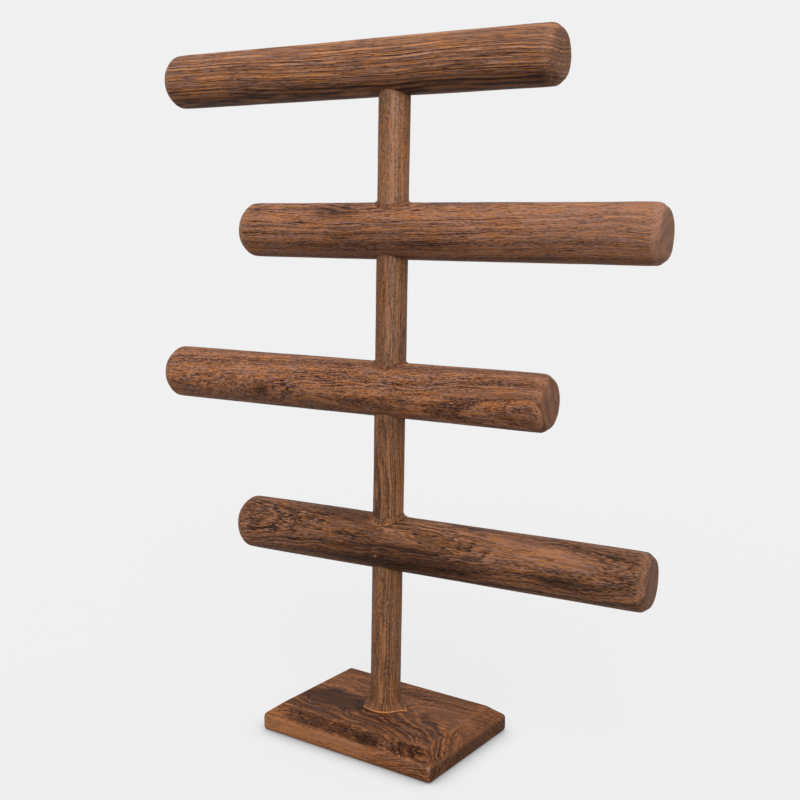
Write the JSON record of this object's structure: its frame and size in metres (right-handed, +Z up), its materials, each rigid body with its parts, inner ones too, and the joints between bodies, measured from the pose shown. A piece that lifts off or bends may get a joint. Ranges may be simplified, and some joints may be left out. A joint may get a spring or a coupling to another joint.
{
  "type": "jewellery display stand",
  "caption": "Free-standing wooden jewellery stand: a bevelled base board and an upright round post that carries round bars, offset left and right in turn, for bracelets and necklaces.",
  "frame": {"origin": "centre of the base board's underside, on the axis of the post", "axes": "+X along the bars (right), +Z up the post, -Y towards the front"},
  "size_m": [0.3135, 0.0936, 0.4],
  "materials": {
    "board_wood": "dark oiled hardwood with a swirling, smoky grain, satin",
    "post_wood": "dark oiled hardwood with fine upright grain, satin",
    "top_bar_wood": "dark oiled hardwood with long straight grain, satin",
    "second_bar_wood": "dark oiled hardwood with dense fine pores, satin",
    "third_bar_wood": "dark oiled hardwood with arched grain, satin",
    "bottom_bar_wood": "dark oiled hardwood with flamed grain, satin",
    "joint_glue": "hardened glue and sawdust, dull",
    "hole_filler": "wood filler, sanded flush",
    "brad_steel": "bright wire steel",
    "screw_steel": "zinc-plated steel"
  },
  "bodies": {
    "root": {"base_board": "board_wood", "post": "post_wood", "top_bar": "top_bar_wood", "second_bar": "second_bar_wood", "third_bar": "third_bar_wood", "bottom_bar": "bottom_bar_wood", "foot_glue_bead": "joint_glue", "second_bar_glue_bead": "joint_glue", "third_bar_glue_bead": "joint_glue", "bottom_bar_glue_bead": "joint_glue", "joint_brads": "brad_steel", "brad_hole_fillers": "hole_filler", "base_screw": "screw_steel"}
  },
  "joints": []
}
